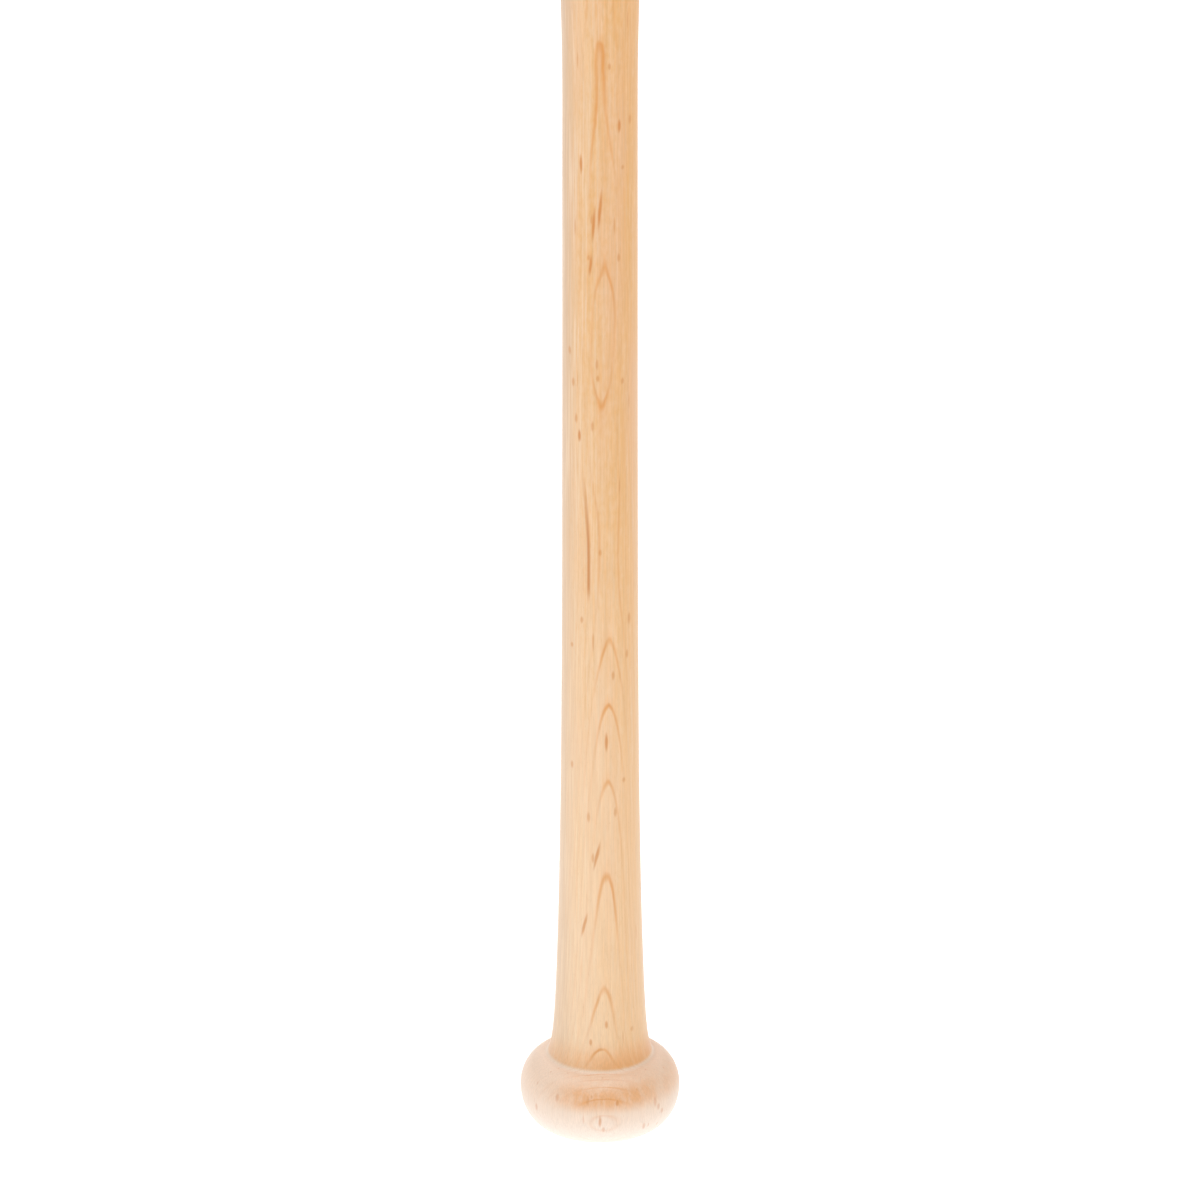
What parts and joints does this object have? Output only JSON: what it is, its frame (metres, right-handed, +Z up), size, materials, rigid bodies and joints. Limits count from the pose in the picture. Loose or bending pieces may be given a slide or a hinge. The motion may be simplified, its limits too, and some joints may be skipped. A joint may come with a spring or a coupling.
{
  "type": "baseball bat",
  "caption": "Turned wooden baseball bat in pale natural maple, with a round knob, a slim flared handle, a long taper and a barrel with a rounded, cupped tip.",
  "frame": {"origin": "the middle of the flat base of the knob, on the bat's axis", "axes": "+Z runs up the bat's axis from the knob to the cupped tip; -Y is the flat-sawn face of the wood, with the arched grain"},
  "size_m": [0.0636, 0.0636, 0.8382],
  "materials": {
    "maple": "satin"
  },
  "bodies": {
    "root": {"knob": "maple", "handle": "maple", "throat": "maple", "taper": "maple", "barrel": "maple", "barrel_end": "maple"}
  },
  "joints": []
}
